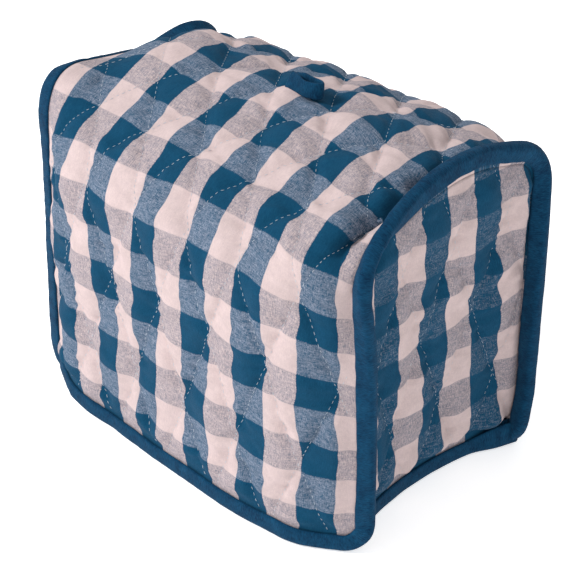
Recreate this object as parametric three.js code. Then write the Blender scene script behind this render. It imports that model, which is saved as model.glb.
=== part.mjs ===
// Quilted toaster cover, about 316 mm long, 240 mm deep and 255 mm high, standing on its hem.
// One long body panel runs up the front, over the top and down the back. Two end panels close it.
// The cut edges of body and ends are laid together, so that they stand out as a flange past each
// seam, and a folded cotton binding wraps them. Each end panel's hem has its own short binding,
// and a small loop of the same strip is sewn to the middle of the top.
// X runs along the cover, the front faces -Y, and the hems stand on z = 0.

import * as THREE from 'three';

// Driving sizes, in millimetres.
const halfLength = 143;          // middle of the cover to an end seam
const clothSpan = 610;           // cloth from front hem to back hem, over the top
const flangeWidth = 15;          // an end seam to the outer edge of its bound flange
const bindingWidth = 12.6;       // what the binding covers, from its lip to its outer edge
const cornerRadius = 22;         // outer corners of the bound body panel, at the hems
const edgeThick = 2.4;           // a quilted layer pressed flat inside the binding
const panelThick = 3.4;          // a quilted layer on its stitch lines
const quiltRise = 2.2;           // how far the filling lifts the cloth between stitch lines
const layerGap = 0.3;            // air between neighbouring pieces
const bindingWall = 1.1;         // the folded strip of the binding
const slotFloor = 1.2;           // from the binding's outer edge to the bottom of its fold
const panelEdge = 1.6;           // from the same edge to the panels' cut edges inside it
const coarseEase = 0.65;         // extra room on a panel's plain inner side

// Quilting: two families of stitch lines that cross in tall diamonds.
const quiltPitch = 50;           // between lines of one family, along the cover
const quiltLean = 0.4;           // sideways run of a line for each millimetre up the walls
const quiltLeanTop = 0.711;      // the same over the top
const quiltTurn = 215;           // height of cloth at which the lean changes
const quiltPhase = 40;           // where lines of both families meet the hem, past the left seam

// Cuts across the cover. front and back are the places of the two walls, shoulder and backShoulder
// the heights of the folded corners over them, ridgeY and ridge the top between those corners,
// soft and softBack how far each corner's bend reaches.
const sections = [
  {
    x: -143, front: -74, shoulder: 236, soft: 46, ridgeY: -6, ridge: 220,
    back: 90, backShoulder: 200, softBack: 30,
  },
  {
    x: -115, front: -93, shoulder: 204, soft: 34, ridgeY: -2, ridge: 245,
    back: 104, backShoulder: 196, softBack: 34,
  },
  {
    x: -58, front: -103, shoulder: 205, soft: 34, ridgeY: 0, ridge: 243,
    back: 113, backShoulder: 196, softBack: 38,
  },
  {
    x: 14, front: -112, shoulder: 208, soft: 40, ridgeY: 0, ridge: 249,
    back: 116, backShoulder: 198, softBack: 40,
  },
  {
    x: 80, front: -116, shoulder: 212, soft: 40, ridgeY: 0, ridge: 248,
    back: 110, backShoulder: 202, softBack: 36,
  },
  {
    x: 118, front: -111, shoulder: 222, soft: 30, ridgeY: 0, ridge: 242,
    back: 92, backShoulder: 208, softBack: 28,
  },
  {
    x: 143, front: -95, shoulder: 217, soft: 30, ridgeY: -2, ridge: 240,
    back: 74, backShoulder: 217, softBack: 18,
  },
];
const softRidge = 44;            // and how far the bend over the top reaches
const bendShare = 0.48;          // the most that a bend may take of the straight beside it

// Hems and corners.
const frontDraw = 48;            // how far in from the end the body's rounded corners pull the cloth
const tuck = 6.2;                // how far an end panel's lowest corners stay behind the body's
const lowDraw = 2.6;             // and how far inside the seam
const lowHeights = [panelEdge, 10, 18.5, 20.4];
const hemBow = 15;               // how far an end panel's hem is drawn in at its middle
const topBow = 5;                // and its upper part
const endWidth = 150;            // about how wide an end panel's cloth is, for fading its quilting
const endHeight = 220;           // and how high
const hemBindingStart = 7.5;     // where an end panel's hem binding comes out from behind the flange
const hemBindingSteps = 14;

// The loop: a narrow strip folded back on itself, its ends sewn to the top.
const loopLength = 27;
const loopWidth = 9;
const loopThick = 1.6;
const loopRise = 9;
const loopSteps = 26;
const loopTurn = 3;              // degrees from +X, seen from above
const loopRoll = 86;             // degrees that it has rolled over towards the front
const loopX = 1;
const loopY = 6;
const loopRoute = [
  { along: 0, up: 0 }, { along: 0.3, up: 0.02 }, { along: 0.62, up: 0.1 }, { along: 0.9, up: 0.34 },
  { along: 1, up: 0.66 }, { along: 0.88, up: 0.96 }, { along: 0.6, up: 1 }, { along: 0.3, up: 0.72 },
  { along: 0, up: 0.4 },
];

const panelColour = 0x8e97a8;
const bindingColour = 0x175173;

// Which way each flange stands, in degrees from straight out along the cover towards the
// section's own outside, at places along the section.
const flangeTurns = [
  { at: 0, left: -18, right: -33 },
  { at: 60, left: -18, right: -33 },
  { at: 110, left: -20, right: -28 },
  { at: 150, left: -22, right: -12 },
  { at: 190, left: -18, right: 14 },
  { at: 225, left: -5, right: 48 },
  { at: 260, left: 9, right: 80 },
  { at: 300, left: 22, right: 95 },
  { at: 345, left: 34, right: 93 },
  { at: 385, left: 38, right: 66 },
  { at: 420, left: 24, right: 34 },
  { at: 470, left: 8, right: 10 },
  { at: 550, left: -22, right: -12 },
  { at: 610, left: -28, right: -15 },
];

// Layout of the points.
const innerColumns = 32;         // between the end seams
const flangeColumns = 2;         // across each flange
const cornerRows = 4;            // round each hem corner
const wallRows = 54;             // between the hem corners
const sideRows = 20;             // of those, up an end panel's front or back edge
const lowRows = 4;               // on an end panel, below its flange
const rows = cornerRows * 2 + wallRows;

const smooth = (a, b, t) => THREE.MathUtils.smoothstep(t, a, b);

/** Value of one column of a table at a place, on a smooth curve through its rows. */
function tableValue(table, key, column, place) {
  const last = table.length - 1;
  let k = 0;
  while (k < last - 1 && place > table[k + 1][key]) k += 1;
  const slope = (i) => (table[i + 1][column] - table[i][column]) / (table[i + 1][key] - table[i][key]);
  const tangent = (i) => {
    if (i === 0) return slope(0);
    if (i === last) return slope(last - 1);
    const before = table[i][key] - table[i - 1][key];
    const after = table[i + 1][key] - table[i][key];
    return (slope(i - 1) * after + slope(i) * before) / (before + after);
  };
  const h = table[k + 1][key] - table[k][key];
  const t = (place - table[k][key]) / h;
  const [t2, t3] = [t * t, t * t * t];
  return (2 * t3 - 3 * t2 + 1) * table[k][column] + (t3 - 2 * t2 + t) * h * tangent(k)
    + (3 * t2 - 2 * t3) * table[k + 1][column] + (t3 - t2) * h * tangent(k + 1);
}

/** The cut across the cover at x, from front hem to back hem, in the Y-Z plane. */
function sectionPath(x) {
  const at = (column) => tableValue(sections, 'x', column, x);
  const corners = [
    new THREE.Vector2(at('front'), 0),
    new THREE.Vector2(at('front'), at('shoulder')),
    new THREE.Vector2(at('ridgeY'), at('ridge')),
    new THREE.Vector2(at('back'), at('backShoulder')),
    new THREE.Vector2(at('back'), 0),
  ];
  const reach = [0, at('soft'), softRidge, at('softBack')];
  const path = new THREE.Path();
  path.moveTo(corners[0].x, corners[0].y);
  for (let k = 1; k < 4; k += 1) {
    const toward = (other) => {
      const way = other.clone().sub(corners[k]);
      return way.setLength(Math.min(reach[k], way.length() * bendShare)).add(corners[k]);
    };
    const enter = toward(corners[k - 1]);
    const leave = toward(corners[k + 1]);
    path.lineTo(enter.x, enter.y);
    path.quadraticCurveTo(corners[k].x, corners[k].y, leave.x, leave.y);
  }
  path.lineTo(corners[4].x, corners[4].y);
  return path;
}

// Cloth measured along the cover, from the middle to either side, on the front wall.
const planStep = 1;
const planLengths = [0];
for (let x = -halfLength; x < halfLength; x += planStep) {
  const rise = tableValue(sections, 'x', 'front', x + planStep) - tableValue(sections, 'x', 'front', x);
  planLengths.push(planLengths.at(-1) + Math.hypot(planStep, rise));
}
const clothLength = planLengths.at(-1);

/** Place along the cover of a point that lies u millimetres of cloth past the left seam. */
function alongCover(u) {
  const before = planLengths.findIndex((length) => length > u) - 1;
  const k = Math.min(Math.max(before, 0), planLengths.length - 2);
  const inside = u >= clothLength ? planLengths.length - 2 : k;
  const t = (u - planLengths[inside]) / (planLengths[inside + 1] - planLengths[inside]);
  return -halfLength + (inside + t) * planStep;
}

const sectionCache = new Map();
function sectionAt(x) {
  const key = x.toFixed(4);
  if (!sectionCache.has(key)) {
    const path = sectionPath(x);
    path.arcLengthDivisions = 60;
    sectionCache.set(key, path);
  }
  return sectionCache.get(key);
}

/** Point on the body's middle surface, and the section's direction and outside there. */
function bodyFrame(u, v) {
  const x = alongCover(Math.min(Math.max(u, 0), clothLength));
  const path = sectionAt(x);
  const step = 0.004;
  const t = THREE.MathUtils.clamp(v / clothSpan, 0, 1);
  const here = path.getPoint(t);
  const next = path.getPoint(Math.min(t + step, 1));
  const previous = path.getPoint(Math.max(t - step, 0));
  const way = next.sub(previous).normalize();
  return {
    point: new THREE.Vector3(x, here.x, here.y),
    along: new THREE.Vector3(0, way.x, way.y),
    outside: new THREE.Vector3(0, -way.y, way.x),
  };
}

/** The flange at v on one side: its root, its direction, and its face on the body's side. */
function flangeFrame(side, v) {
  const frame = bodyFrame(side < 0 ? 0 : clothLength, v);
  const turn = THREE.MathUtils.degToRad(tableValue(flangeTurns, 'at', side < 0 ? 'left' : 'right', v));
  const out = new THREE.Vector3(side, 0, 0).multiplyScalar(Math.cos(turn))
    .addScaledVector(frame.outside, Math.sin(turn));
  const face = out.clone().cross(frame.along).multiplyScalar(side);
  return { root: frame.point, out, face, up: Math.max(frame.outside.z, 0) };
}

const layerShift = (edgeThick + layerGap) / 2;
const dipDepth = 5;              // how far the top sinks beside the flange before it climbs onto it
const dipReach = 26;

/** The body's middle surface: u is cloth past the left seam, v cloth up from the front hem. */
function bodySurface(u, v) {
  const side = u < clothLength / 2 ? -1 : 1;
  const past = side < 0 ? -u : u - clothLength;
  const flange = flangeFrame(side, v);
  if (past >= 0) {
    return flange.root.clone().addScaledVector(flange.out, past).addScaledVector(flange.face, layerShift);
  }
  const point = bodyFrame(u, v).point;
  const near = 1 - smooth(0, dipReach, -past);
  const dip = dipDepth * flange.up * 4 * near * (1 - near);
  return point.addScaledVector(flange.face, layerShift * near).addScaledVector(flange.out, -dip * near);
}

/** How far a rounded outer corner has drawn the edge in, v up from the hem. */
function cornerInset(v, radius) {
  const drop = radius - Math.min(Math.max(v, 0), radius);
  return radius - Math.sqrt(radius * radius - drop * drop);
}

/** Height of the quilting over its stitch lines: 0 on a line, 1 in the middle of a diamond. */
function quilting(u, v) {
  const fromHem = Math.min(v, clothSpan - v);
  const run = quiltLean * Math.min(fromHem, quiltTurn) + quiltLeanTop * Math.max(fromHem - quiltTurn, 0);
  const rising = Math.sin(Math.PI * (u - quiltPhase - run) / quiltPitch);
  const falling = Math.sin(Math.PI * (u - quiltPhase + run) / quiltPitch);
  return Math.sqrt(Math.abs(rising * falling));
}

/** An empty sheet: its middle points, and what each has of thickness, quilting and given facing. */
function newSheet() {
  return { points: [], thickness: [], rise: [], faces: [] };
}

function addPoint(sheet, point, thick, lift, face) {
  sheet.points.push(point);
  sheet.thickness.push(thick);
  sheet.rise.push(lift);
  sheet.faces.push(face);
  return sheet.points.length - 1;
}

/**
 * Closes a sheet of cloth. patches are grids of point numbers with an even count of cells, rim is
 * the closed loop of points round its edge. The outer face has every point, raised by rise, and
 * the plain inner face has every second one.
 */
function sheetSolid(sheet, patches, rim) {
  const { points, thickness, rise, faces: given } = sheet;
  const normals = points.map(() => new THREE.Vector3());
  for (const grid of patches) {
    for (let i = 0; i + 1 < grid.length; i += 1) {
      for (let j = 0; j + 1 < grid[i].length; j += 1) {
        const corners = [grid[i][j], grid[i + 1][j], grid[i + 1][j + 1], grid[i][j + 1]];
        const across = points[corners[2]].clone().sub(points[corners[0]]);
        const normal = across.cross(points[corners[3]].clone().sub(points[corners[1]])).normalize();
        corners.forEach((corner) => normals[corner].add(normal));
      }
    }
  }
  given.forEach((face, k) => face && normals[k].copy(face));
  const positions = [];
  for (const offset of [(k) => thickness[k] / 2 + rise[k], (k) => -thickness[k] / 2]) {
    points.forEach((point, k) => {
      const moved = point.clone().addScaledVector(normals[k].clone().normalize(), offset(k));
      positions.push(moved.x, moved.y, moved.z);
    });
  }
  const inner = points.length;
  const faces = [];
  for (const grid of patches) {
    for (let i = 0; i + 1 < grid.length; i += 1) {
      for (let j = 0; j + 1 < grid[i].length; j += 1) {
        faces.push(grid[i][j], grid[i + 1][j], grid[i + 1][j + 1]);
        faces.push(grid[i][j], grid[i + 1][j + 1], grid[i][j + 1]);
      }
    }
    for (let i = 0; i + 2 < grid.length; i += 2) {
      for (let j = 0; j + 2 < grid[i].length; j += 2) {
        faces.push(inner + grid[i][j], inner + grid[i + 2][j + 2], inner + grid[i + 2][j]);
        faces.push(inner + grid[i][j], inner + grid[i][j + 2], inner + grid[i + 2][j + 2]);
      }
    }
  }
  for (let k = 0; k < rim.length; k += 2) {
    const [a, b, c] = [rim[k], rim[k + 1], rim[(k + 2) % rim.length]];
    faces.push(inner + a, inner + c, b, inner + a, b, a, inner + c, c, b);
  }
  return solidFrom(positions, faces);
}

/** A geometry with only the points that its faces use. */
function solidFrom(positions, faces) {
  const renumber = new Map();
  const kept = [];
  const index = faces.map((k) => {
    if (!renumber.has(k)) {
      renumber.set(k, renumber.size);
      kept.push(positions[3 * k], positions[3 * k + 1], positions[3 * k + 2]);
    }
    return renumber.get(k);
  });
  const geometry = new THREE.BufferGeometry();
  geometry.setAttribute('position', new THREE.Float32BufferAttribute(kept, 3));
  geometry.setIndex(index);
  geometry.computeVertexNormals();
  return geometry;
}

/** Rows of the body panel, from the front edge inside its binding to the back one. */
function bodyRows() {
  const radius = cornerRadius - panelEdge;
  const low = [];
  for (let k = 0; k < cornerRows; k += 1) {
    low.push(panelEdge + radius * (1 - Math.cos((Math.PI / 2) * (k / cornerRows))));
  }
  const pitch = (clothSpan - 2 * cornerRadius) / wallRows;
  const middle = Array.from({ length: wallRows + 1 }, (_, k) => cornerRadius + k * pitch);
  return [...low, ...middle, ...low.map((v) => clothSpan - v).reverse()];
}
const rowPlaces = bodyRows();

const panelReach = flangeWidth - panelEdge;

/** Columns of the body panel at full width, in cloth past the left seam. */
function bodyColumns() {
  const columns = [];
  for (let k = flangeColumns; k > 0; k -= 1) columns.push(-panelReach * (k / flangeColumns));
  for (let k = 0; k <= innerColumns; k += 1) columns.push(clothLength * (k / innerColumns));
  for (let k = 1; k <= flangeColumns; k += 1) columns.push(clothLength + panelReach * (k / flangeColumns));
  return columns;
}

/** The body panel: front, top and back in one strip, with rounded corners at both hems. */
function bodyPanel() {
  const columns = bodyColumns();
  const sheet = newSheet();
  const grid = columns.map((column) => rowPlaces.map((v) => {
    const fromHem = Math.min(v, clothSpan - v);
    const inset = cornerInset(fromHem - panelEdge, cornerRadius - panelEdge);
    const middle = clothLength / 2;
    const reach = Math.abs(column - middle);
    const draw = inset * smooth(middle - frontDraw, middle + panelReach, reach);
    const u = column - Math.sign(column - middle) * draw;
    const pastLip = Math.min(fromHem - bindingWidth, middle - Math.abs(u - middle));
    const free = smooth(0, 12, pastLip);
    const thick = edgeThick + (panelThick - edgeThick) * free;
    const inFlange = u <= 0 || u >= clothLength;
    const face = inFlange ? flangeFrame(Math.sign(u - middle), v).face : null;
    return addPoint(sheet, bodySurface(u, v), thick, quiltRise * quilting(u, v) * free, face);
  }));
  const [lastColumn, lastRow] = [grid.length - 1, rows];
  const rim = [
    ...grid.map((column) => column[0]),
    ...grid[lastColumn].slice(1),
    ...grid.map((column) => column[lastRow]).reverse().slice(1),
    ...grid[0].slice(1, lastRow).reverse(),
  ];
  return sheetSolid(sheet, [grid], rim);
}

/** Point of an end panel's sheet in or beside the flange, out from the seam. */
function endEdge(side, v, past) {
  const flange = flangeFrame(side, v);
  const low = 1 - smooth(lowHeights[2], cornerRadius, Math.min(v, clothSpan - v));
  const behind = layerShift + (tuck - layerShift) * low;
  return flange.root.clone().addScaledVector(flange.out, past - lowDraw * low)
    .addScaledVector(flange.face, -behind);
}

/** An end panel: its face between the seams, with a strip along three sides for the flange. */
function endPanel(side) {
  const first = cornerRows;
  const corner = first + sideRows;
  const topRows = rows - 2 * corner;
  const frontV = (j) => (j < lowRows ? lowHeights[j] : rowPlaces[first + j - lowRows]);
  const height = lowRows + sideRows;
  const front = Array.from({ length: height + 1 }, (_, j) => endEdge(side, frontV(j), 0));
  const back = Array.from({ length: height + 1 }, (_, j) => endEdge(side, clothSpan - frontV(j), 0));
  const top = Array.from({ length: topRows + 1 }, (_, i) => endEdge(side, rowPlaces[corner + i], 0));

  const sheet = newSheet();
  const backOf = (v) => flangeFrame(side, v).face.clone().negate();
  const face = Array.from({ length: topRows + 1 }, (_, i) => Array.from({ length: height + 1 }, (__, j) => {
    const [s, t] = [i / topRows, j / height];
    const hem = front[0].clone().lerp(back[0], s);
    const point = front[j].clone().lerp(back[j], s)
      .add(hem.clone().lerp(top[i], t))
      .sub(hem.clone().lerp(front[height].clone().lerp(back[height], s), t));
    const bow = (hemBow + (topBow - hemBow) * smooth(0, 1, t)) * 4 * s * (1 - s) * (1 - t ** 4);
    point.x -= side * bow;
    const inside = Math.min(s * endWidth, (1 - s) * endWidth, (1 - t) * endHeight, point.z - bindingWidth);
    const free = smooth(-1, 12, inside);
    const thick = edgeThick + (panelThick - edgeThick) * free;
    const lift = quiltRise * free * quilting(point.y + quiltPitch / 2, point.z);
    return addPoint(sheet, point, thick, lift, null);
  }));
  const boundary = [
    ...face[0].slice(lowRows),
    ...face.slice(1).map((column) => column[height]),
    ...face[topRows].slice(lowRows, height).reverse(),
  ];
  const strip = boundary.map((root, k) => [root, ...[1, 2].map((step) => {
    const past = panelReach * (step / flangeColumns);
    return addPoint(sheet, endEdge(side, rowPlaces[first + k], past), edgeThick, 0, null);
  })]);
  strip.forEach((cells, k) => cells.forEach((cell) => { sheet.faces[cell] = backOf(rowPlaces[first + k]); }));
  const rim = [
    ...face.map((column) => column[0]),
    ...face[topRows].slice(1, lowRows + 1),
    ...strip.at(-1).slice(1),
    ...strip.map((cells) => cells[2]).reverse().slice(1),
    ...strip[0].slice(0, 2).reverse(),
    ...face[0].slice(1, lowRows).reverse(),
  ];
  if (side > 0) return sheetSolid(sheet, [face, strip], rim);
  const turned = (grid) => [...grid].reverse();
  const turnedRim = [rim[0], ...rim.slice(1).reverse()];
  return sheetSolid(sheet, [turned(face), turned(strip)], turnedRim);
}

/**
 * Sweeps a closed outline of points through its stations; a ring joins its last to its first.
 * The outline's sides named in crossed have their quads parted along the other diagonal.
 */
function sweptSolid(stations, ring, crossed = []) {
  const positions = stations.flat().flatMap((point) => point.toArray());
  const sides = stations[0].length;
  const faces = [];
  const count = ring ? stations.length : stations.length - 1;
  for (let k = 0; k < count; k += 1) {
    const next = (k + 1) % stations.length;
    for (let m = 0; m < sides; m += 1) {
      const [a, b] = [k * sides + m, k * sides + ((m + 1) % sides)];
      const [c, d] = [next * sides + ((m + 1) % sides), next * sides + m];
      if (crossed.includes(m)) faces.push(a, b, d, b, c, d);
      else faces.push(a, b, c, a, c, d);
    }
  }
  return { positions, faces, sides };
}

/** Section of a binding: a folded strip, from lip to lip, as depth from the edge and height. */
function bindingOutline(slot, innerSlot) {
  const [wide, innerWide] = [slot + bindingWall, innerSlot + bindingWall];
  const halfway = flangeWidth - panelReach / 2;
  return [
    { depth: bindingWidth, height: wide }, { depth: 2.6, height: wide }, { depth: 0, height: wide * 0.45 },
    { depth: 0, height: -innerWide * 0.45 }, { depth: 2.6, height: -innerWide },
    { depth: bindingWidth, height: -innerWide }, { depth: bindingWidth, height: -innerSlot },
    { depth: halfway, height: -innerSlot }, { depth: slotFloor, height: -innerSlot },
    { depth: slotFloor, height: slot }, { depth: halfway, height: slot }, { depth: bindingWidth, height: slot },
  ];
}
const crossedSides = [9, 10];

/** Outward face of the body's surface at a place, from its neighbours. */
function bodyFace(u, v) {
  if (u <= 0 || u >= clothLength) return flangeFrame(u <= 0 ? -1 : 1, v).face;
  const step = 0.6;
  const across = bodySurface(u + step, v).sub(bodySurface(u - step, v));
  const up = bodySurface(u, Math.min(v + step, clothSpan)).sub(bodySurface(u, Math.max(v - step, 0)));
  return across.cross(up).normalize();
}

/** The binding round the whole body panel: both hems and, with the end panels in it, both flanges. */
function edgeBinding() {
  const centre = flangeWidth - cornerRadius;
  const single = edgeThick / 2 + layerGap;
  const double = edgeThick + layerGap * 1.5;
  const columns = bodyColumns().filter((u) => u > -centre + 2 && u < clothLength + centre - 2);
  const path = [];
  const station = (u, v, outU, outV, layers) => path.push({ u, v, outU, outV, layers });
  const turn = (cu, cv, from, layersFrom) => {
    for (let k = 1; k < cornerRows; k += 1) {
      const angle = from + (Math.PI / 2) * (k / cornerRows);
      const layers = layersFrom + (1 - 2 * layersFrom) * smooth(0, 1, k / cornerRows);
      const [outU, outV] = [Math.cos(angle), Math.sin(angle)];
      station(cu + cornerRadius * outU, cv + cornerRadius * outV, outU, outV, layers);
    }
  };
  const middleRows = rowPlaces.slice(cornerRows, rows - cornerRows + 1);
  const [nearU, farU] = [-centre, clothLength + centre];
  const [lowV, highV] = [cornerRadius, clothSpan - cornerRadius];
  for (const u of [nearU, ...columns, farU]) station(u, 0, 0, -1, 0);
  turn(farU, lowV, -Math.PI / 2, 0);
  for (const v of middleRows) station(clothLength + flangeWidth, v, 1, 0, 1);
  turn(farU, highV, 0, 1);
  for (const u of [nearU, ...columns, farU].reverse()) station(u, clothSpan, 0, 1, 0);
  turn(nearU, highV, Math.PI / 2, 0);
  for (const v of [...middleRows].reverse()) station(-flangeWidth, v, -1, 0, 1);
  turn(nearU, lowV, Math.PI, 1);

  const stations = path.map(({ u, v, outU, outV, layers }) => {
    const slot = single + (double - single) * layers;
    const innerSlot = slot + coarseEase * (1 - layers);
    return bindingOutline(slot, innerSlot).map(({ depth, height }) => {
      const [atU, atV] = [u - outU * depth, v - outV * depth];
      const face = bodyFace(atU, atV);
      return bodySurface(atU, atV).addScaledVector(face, height - layerShift * layers);
    });
  });
  const { positions, faces } = sweptSolid(stations, true, crossedSides);
  return solidFrom(positions, faces);
}

/** The short binding on one end panel's hem. */
function endHemBinding(side) {
  const [front, back] = [endEdge(side, panelEdge, 0), endEdge(side, clothSpan - panelEdge, 0)];
  const span = front.distanceTo(back);
  const slot = edgeThick / 2 + layerGap + coarseEase;
  const outline = bindingOutline(slot, slot);
  const sheetX = (s, t) => {
    const bow = (hemBow + (topBow - hemBow) * smooth(0, 1, t)) * 4 * s * (1 - s);
    return front.clone().lerp(back, s).x - side * bow;
  };
  const stations = Array.from({ length: hemBindingSteps + 1 }, (_, k) => {
    const start = (hemBindingStart - tuck + 2) / span;
    const s = start + (1 - 2 * start) * (k / hemBindingSteps);
    const y = front.clone().lerp(back, s).y;
    return outline.map(({ depth, height }) => {
      const x = sheetX(s, depth / 230) + side * height;
      return new THREE.Vector3(x, y, depth);
    });
  });
  if (side < 0) stations.reverse();
  const { positions, faces, sides } = sweptSolid(stations, false);
  for (const [base, flip] of [[0, false], [hemBindingSteps * sides, true]]) {
    const ring = Array.from({ length: sides }, (_, m) => new THREE.Vector2(
      outline[m].height, outline[m].depth,
    ));
    for (const [a, b, c] of THREE.ShapeUtils.triangulateShape(ring, [])) {
      const flipped = flip !== THREE.ShapeUtils.isClockWise(ring);
      faces.push(...(flipped ? [base + a, base + b, base + c] : [base + a, base + c, base + b]));
    }
  }
  return solidFrom(positions, faces);
}

/** The loop strip, a flattened drop that lies on its side, to the right of where it is sewn. */
function topLoop() {
  const heading = THREE.MathUtils.degToRad(loopTurn);
  const roll = THREE.MathUtils.degToRad(loopRoll);
  const way = new THREE.Vector3(Math.cos(heading), Math.sin(heading), 0);
  const front = new THREE.Vector3(Math.sin(heading), -Math.cos(heading), 0);
  const top = new THREE.Vector3(0, 0, 1);
  const rise = top.clone().multiplyScalar(Math.cos(roll)).addScaledVector(front, Math.sin(roll));
  const wide = front.clone().multiplyScalar(Math.cos(roll)).addScaledVector(top, -Math.sin(roll));
  const bends = loopRoute.map(({ along, up }) => new THREE.Vector3(along * loopLength, 0, up * loopRise));
  const route = new THREE.CatmullRomCurve3(bends, false, 'centripetal');
  const middleHeight = loopFloor() + (loopWidth / 2) * Math.sin(roll);
  const stations = Array.from({ length: loopSteps + 1 }, (_, k) => {
    const t = k / loopSteps;
    const middle = route.getPointAt(t);
    const ahead = route.getTangentAt(t);
    const side = new THREE.Vector3(-ahead.z, 0, ahead.x);
    return [[-1, 1], [1, 1], [1, -1], [-1, -1]].map(([across, over]) => {
      const local = middle.clone().addScaledVector(side, (over * loopThick) / 2);
      return new THREE.Vector3(loopX, loopY, middleHeight)
        .addScaledVector(way, local.x)
        .addScaledVector(rise, local.z)
        .addScaledVector(wide, (across * loopWidth) / 2);
    });
  });
  const { positions, faces, sides } = sweptSolid(stations, false);
  const end = loopSteps * sides;
  faces.push(0, 2, 1, 0, 3, 2, end, end + 1, end + 2, end, end + 2, end + 3);
  return solidFrom(positions, faces);
}

/** Height at which the loop's strip clears the quilted top beneath it. */
function loopFloor() {
  let highest = 0;
  for (let u = 0; u <= clothLength; u += 4) {
    for (let v = 0; v <= clothSpan; v += 4) {
      const point = bodySurface(u, v);
      const near = point.x > loopX - 8 && point.x < loopX + loopLength * 0.6 && Math.abs(point.y) < 14;
      if (near) highest = Math.max(highest, point.z + panelThick / 2 + quiltRise * quilting(u, v));
    }
  }
  return highest + layerGap;
}

/** One sub-part: a solid in its own cloth. */
function piece(name, geometry, color) {
  const cloth = new THREE.MeshStandardMaterial({ color, roughness: 0.92, metalness: 0 });
  const mesh = new THREE.Mesh(geometry, cloth);
  mesh.name = name;
  return mesh;
}

const cover = new THREE.Group();
cover.add(
  piece('body_panel', bodyPanel(), panelColour),
  piece('end_panel_right', endPanel(1), panelColour),
  piece('end_panel_left', endPanel(-1), panelColour),
  piece('edge_binding', edgeBinding(), bindingColour),
  piece('end_hem_binding_right', endHemBinding(1), bindingColour),
  piece('end_hem_binding_left', endHemBinding(-1), bindingColour),
  piece('top_loop', topLoop(), bindingColour),
);

export default cover;
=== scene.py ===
# %% [markdown]
# # A quilted gingham toaster cover
# The cover is sewn from seven pieces of cotton. One long quilted panel runs up the front, over the
# top and down the back, and two quilted end panels close it. Their cut edges are laid together and
# wrapped in a folded teal binding, which stands out past each seam as a flange. This lesson loads
# the plain solids as a fixed frame, makes each cloth piece over them as a fine mesh, and gives the
# pieces woven, stitched cotton.

# %% Load the frame
import math

import bmesh
import bpy
import numpy as np
from mathutils import Matrix, Vector, noise
from mathutils.bvhtree import BVHTree


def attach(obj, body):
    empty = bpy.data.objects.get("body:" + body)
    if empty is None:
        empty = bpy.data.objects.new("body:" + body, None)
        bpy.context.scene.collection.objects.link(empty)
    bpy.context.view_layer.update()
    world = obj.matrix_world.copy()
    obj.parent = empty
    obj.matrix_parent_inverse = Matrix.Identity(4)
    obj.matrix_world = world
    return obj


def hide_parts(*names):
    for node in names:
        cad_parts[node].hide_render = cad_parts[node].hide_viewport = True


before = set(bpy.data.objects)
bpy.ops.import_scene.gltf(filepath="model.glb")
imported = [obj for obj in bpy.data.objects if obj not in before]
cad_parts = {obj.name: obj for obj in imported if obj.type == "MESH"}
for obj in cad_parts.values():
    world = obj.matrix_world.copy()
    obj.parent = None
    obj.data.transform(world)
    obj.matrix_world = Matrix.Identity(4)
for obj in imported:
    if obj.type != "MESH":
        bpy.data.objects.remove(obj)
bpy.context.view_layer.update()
MM = 0.001

# %% [markdown]
# ## Camera
# The cover is seen from its front right, from well above. A long lens keeps the far end nearly as
# big as the near one. The camera stands on a ray from a point on the cover's middle line, so its
# place is two angles and a distance, as a photographer would set it.

# %% Make the camera
view_azimuth = math.radians(42.3)
view_elevation = math.radians(32.6)
view_distance = 1.8825
view_aim_height = 0.0939
view_lens = 175.3
view_ray = Vector((
    math.sin(view_azimuth) * math.cos(view_elevation),
    -math.cos(view_azimuth) * math.cos(view_elevation),
    math.sin(view_elevation),
))
camera_data = bpy.data.cameras.new("camera")
camera_data.lens = view_lens
camera_data.sensor_width = 36
camera = bpy.data.objects.new("camera", camera_data)
bpy.context.collection.objects.link(camera)
camera.location = Vector((0, 0, view_aim_height)) + view_ray * view_distance
camera.rotation_mode = "QUATERNION"
camera.rotation_quaternion = (-view_ray).to_track_quat("-Z", "Y")
camera_data.clip_end = 20
bpy.context.scene.camera = camera
print("camera at", [round(x, 2) for x in camera.location])

# %% [markdown]
# ## The cover's form
# Cloth keeps its length, so every place on the body panel is given in millimetres of cloth: u runs
# along the cover from the left seam and v runs from the front hem over the top to the back hem.
# The form is a row of cuts across the cover. Each has two walls, two folded corners and a soft
# ridge, and a smooth curve through the rows gives every cut in between. A cut's shoulders are the
# heights of its corners, and soft is how far the bend of a corner reaches along the cloth.

# %% Sizes of the cloth, in millimetres
half_length = 143
cloth_span = 610
flange_width = 15
binding_width = 12.6
corner_radius = 22
edge_thick = 2.4
panel_thick = 3.4
layer_gap = 0.3
panel_edge = 1.6
panel_reach = flange_width - panel_edge
layer_shift = (edge_thick + layer_gap) / 2
soft_ridge = 44


def named(columns, *rows):
    """A table's rows, each with its numbers under the columns' names."""
    return [dict(zip(columns.split(), row)) for row in rows]


sections = named(
    "x front shoulder soft ridge_y ridge back back_shoulder soft_back",
    (-143, -74, 236, 46, -6, 220, 90, 200, 30),
    (-115, -93, 204, 34, -2, 245, 104, 196, 34),
    (-58, -103, 205, 34, 0, 243, 113, 196, 38),
    (14, -112, 208, 40, 0, 249, 116, 198, 40),
    (80, -116, 212, 40, 0, 248, 110, 202, 36),
    (118, -111, 222, 30, 0, 242, 92, 208, 28),
    (143, -95, 217, 30, -2, 240, 74, 217, 18),
)

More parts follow.
